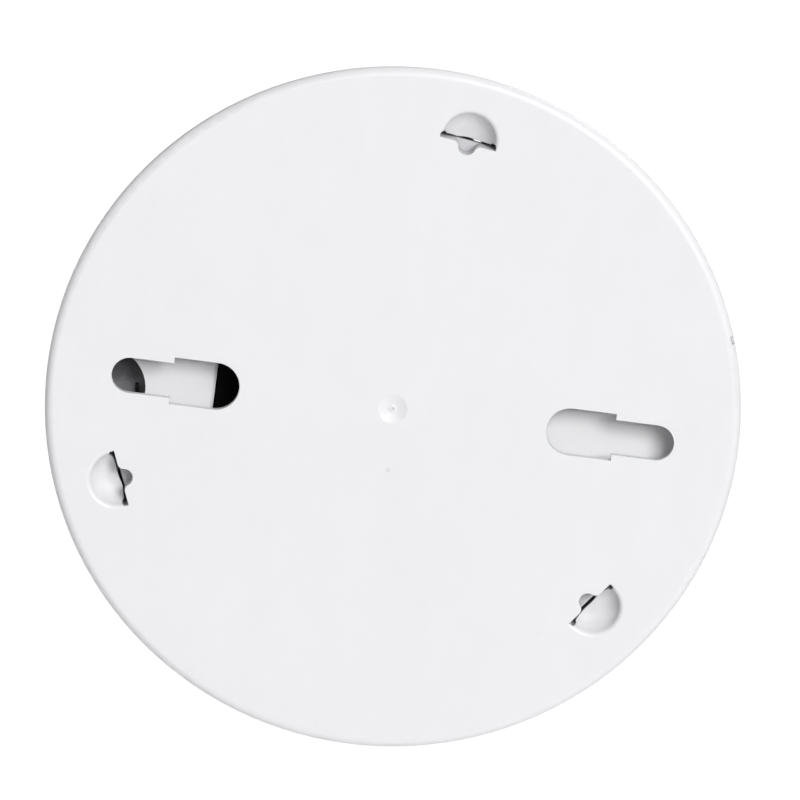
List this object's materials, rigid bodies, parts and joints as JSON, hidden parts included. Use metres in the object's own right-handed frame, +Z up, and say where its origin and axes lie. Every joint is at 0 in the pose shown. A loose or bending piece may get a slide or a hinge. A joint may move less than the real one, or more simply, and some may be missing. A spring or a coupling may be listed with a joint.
{
  "type": "smoke detector",
  "caption": "Round battery smoke detector with a bayonet mounting plate, keyhole slots, vented sensing head and central test button.",
  "frame": {"origin": "centre of the mounting plate's back face, in the plane of the wall", "axes": "+Y into the wall, -Y into the room along the detector's axis, +Z up, screw slots along X"},
  "size_m": [0.1088, 0.0463, 0.1088],
  "materials": {
    "plate_white": "moulded ABS, satin to gloss",
    "housing_white": "moulded ABS, satin",
    "cover_white": "moulded ABS, fine satin grain",
    "button_white": "moulded ABS, gloss",
    "chamber_black": "matt black ABS",
    "battery_jacket": "printed-steel style jacket, plain black",
    "screen_steel": "woven stainless screen",
    "screw_steel": "zinc-plated steel",
    "contact_steel": "nickel-plated spring steel",
    "spring_steel": "drawn spring wire",
    "board_green": "solder-masked glass epoxy",
    "chip_black": "moulded epoxy",
    "sleeve_black": "shrink sleeve",
    "coil_sleeve": "dark grey shrink sleeve",
    "chip_ceramic": "ceramic",
    "siren_black": "moulded black plastic",
    "piezo_brass": "thin brass disc",
    "optic_clear": "clear epoxy",
    "optic_dark": "dark filter epoxy",
    "lamp_red": "red epoxy",
    "pipe_clear": "clear acrylic",
    "switch_key": "moulded nylon"
  },
  "bodies": {
    "plate": {"mounting_plate": "plate_white"},
    "detector": {"rear_housing": "housing_white", "front_cover": "cover_white", "housing_screws": "screw_steel", "vent_cage": "cover_white", "sensor_cap": "cover_white", "battery_case": "battery_jacket", "battery_terminals": "contact_steel", "battery_contacts": "contact_steel", "circuit_board": "board_green", "board_screws": "screw_steel", "control_chip": "chip_black", "capacitors": "sleeve_black", "driver_coil": "coil_sleeve", "chip_parts": "chip_ceramic", "siren_drum": "siren_black", "piezo_disc": "piezo_brass", "siren_mouth": "siren_black", "siren_springs": "spring_steel", "chamber_base": "chamber_black", "labyrinth": "chamber_black", "chamber_lid": "chamber_black", "insect_screen": "screen_steel", "infrared_lamp": "optic_clear", "light_sensor": "optic_dark", "test_switch": "chip_black", "alarm_lamp": "lamp_red", "light_pipe": "pipe_clear", "button_spring": "spring_steel"},
    "button": {"test_button": "button_white", "switch_key": "switch_key"}
  },
  "joints": [
    {"name": "twist_lock", "type": "hinge", "parent": "plate", "child": "detector", "pos_m": [0, 0, 0], "axis": [0, -1, 0], "range_deg": [0, 15]},
    {"name": "button_press", "type": "slide", "parent": "detector", "child": "button", "axis": [0, 1, 0], "range_m": [0, 0.0012], "stiffness_N_per_m": 900, "springref_m": -0.0006, "deforming": ["button_spring"]}
  ]
}
